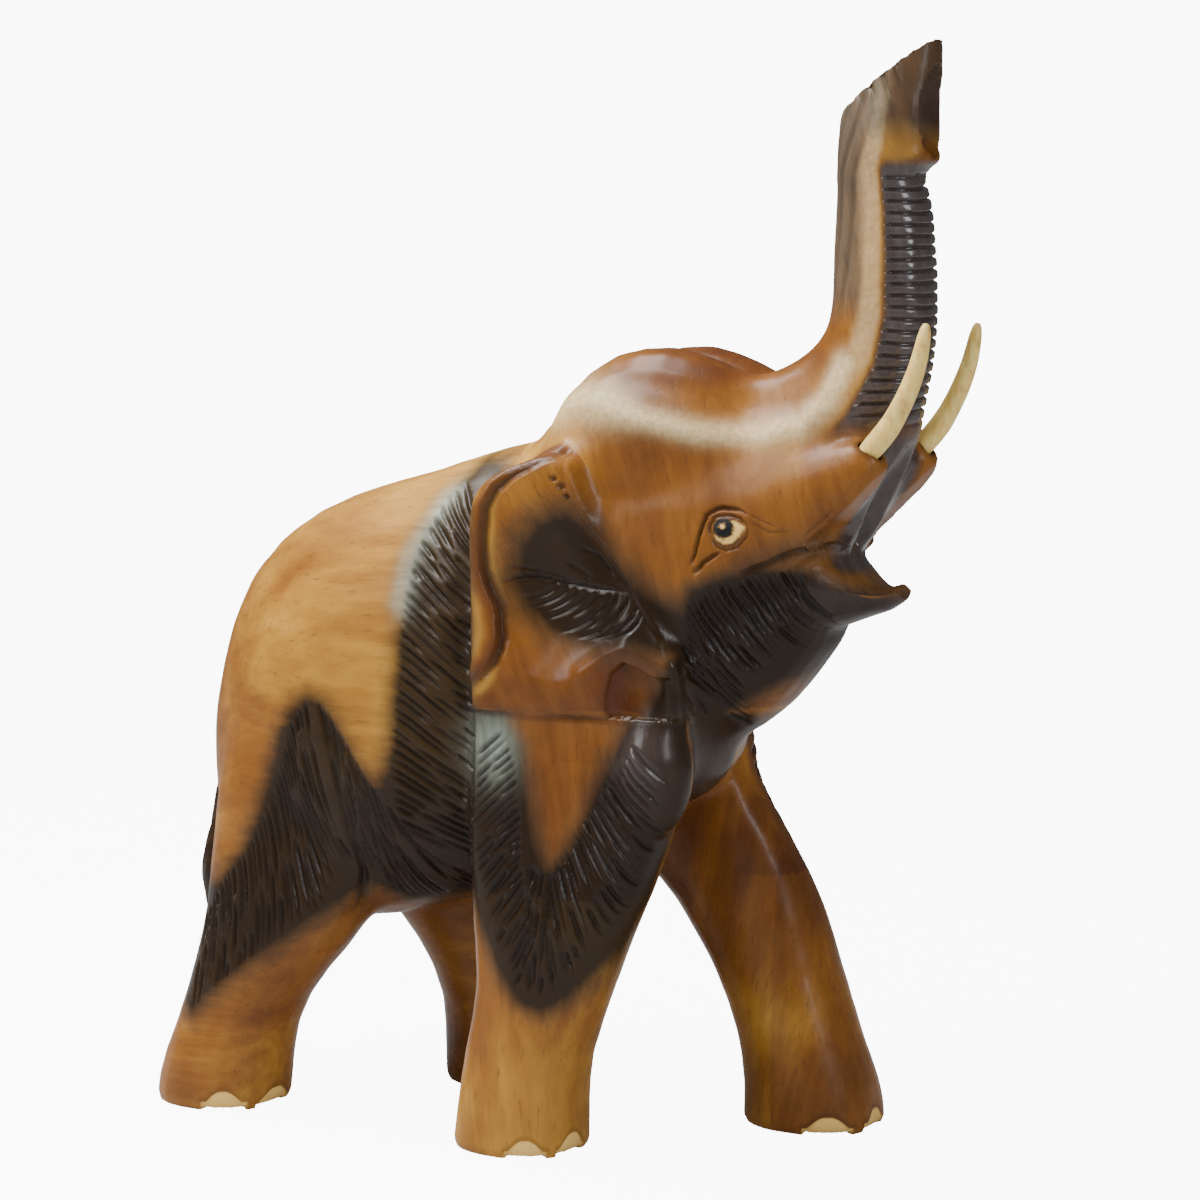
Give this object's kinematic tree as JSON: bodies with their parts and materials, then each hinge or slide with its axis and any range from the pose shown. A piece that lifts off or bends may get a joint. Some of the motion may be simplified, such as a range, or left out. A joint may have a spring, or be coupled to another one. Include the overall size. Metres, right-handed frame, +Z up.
{
  "type": "carved wooden elephant figurine",
  "caption": "Carved wooden elephant walking with its trunk raised, glued up from shaped blocks, with peg tusks that push into drilled sockets; stands free on its soles.",
  "frame": {"origin": "on the ground under the middle of the figure's box, in the plane of the four soles", "axes": "+X the way the elephant faces, +Y its left side, +Z up"},
  "size_m": [0.3333, 0.1354, 0.4133],
  "materials": {
    "torso_wood": "stained and satin varnished, carved hatching darkened",
    "head_wood": "stained and satin varnished, dark airbrushed jaw",
    "ear_wood": "stained and semi-gloss varnished, dark airbrushed hollow",
    "leg_wood": "stained and semi-gloss varnished, raw wood toenails",
    "tusk_wood": "pale bare wood, lightly polished",
    "dowel_wood": "raw"
  },
  "bodies": {
    "carving": {"torso": "torso_wood", "head": "head_wood", "right_ear": "ear_wood", "left_ear": "ear_wood", "right_foreleg": "leg_wood", "left_foreleg": "leg_wood", "neck_dowel_right": "dowel_wood", "neck_dowel_left": "dowel_wood", "right_leg_dowel_rear": "dowel_wood", "right_leg_dowel_front": "dowel_wood", "left_leg_dowel_rear": "dowel_wood", "left_leg_dowel_front": "dowel_wood"},
    "right_tusk": {"right_tusk": "tusk_wood"},
    "left_tusk": {"left_tusk": "tusk_wood"}
  },
  "joints": [
    {"name": "right_tusk_pull", "type": "slide", "parent": "carving", "child": "right_tusk", "axis": [0.6606, 0, 0.7507], "range_m": [0, 0.012]},
    {"name": "left_tusk_pull", "type": "slide", "parent": "carving", "child": "left_tusk", "axis": [0.6606, 0, 0.7507], "range_m": [0, 0.012]}
  ]
}
